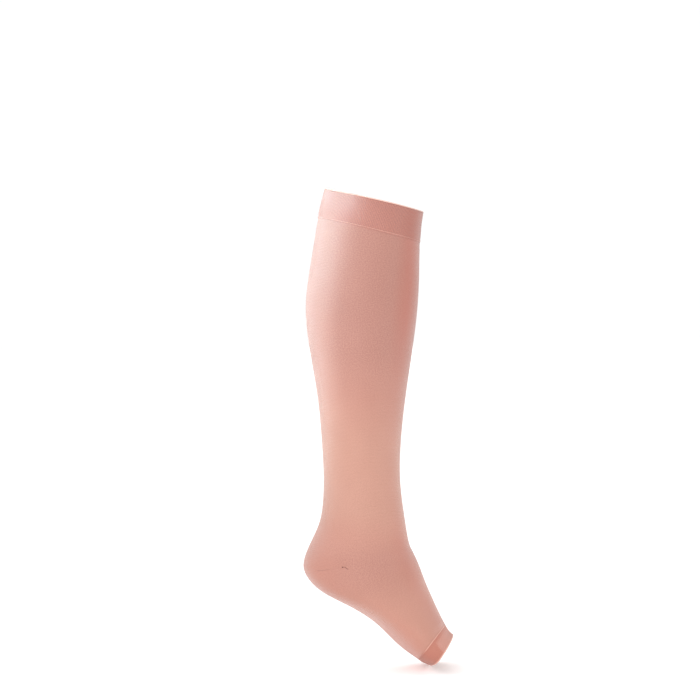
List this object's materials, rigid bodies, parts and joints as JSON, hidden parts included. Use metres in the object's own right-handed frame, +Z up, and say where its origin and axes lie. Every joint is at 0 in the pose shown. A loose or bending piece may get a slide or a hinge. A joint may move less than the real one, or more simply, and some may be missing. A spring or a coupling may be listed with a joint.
{
  "type": "compression stocking",
  "caption": "Open-toe knee-high compression stocking in its worn form: hollow leg with a doubled top band, heel pocket, and a foot on tiptoe ending in a toe band.",
  "frame": {"origin": "middle of the top opening, at the level of its rim's middle", "axes": "+Z up the leg towards the knee, +X towards the toes, +Y to the wearer's left, so that -Y is the outer side of this right leg's stocking"},
  "size_m": [0.1649, 0.1108, 0.5058],
  "materials": {
    "body_knit": "fine circular knit in a warm beige, matt with a soft sheen at grazing angles",
    "band_knit": "doubled knit in the same beige with a fine slanting rib, matt"
  },
  "bodies": {
    "root": {"top_band": "band_knit", "calf_tube": "body_knit", "ankle_tube": "body_knit", "heel_pocket": "body_knit", "foot_tube": "body_knit", "toe_band": "band_knit"}
  },
  "joints": []
}
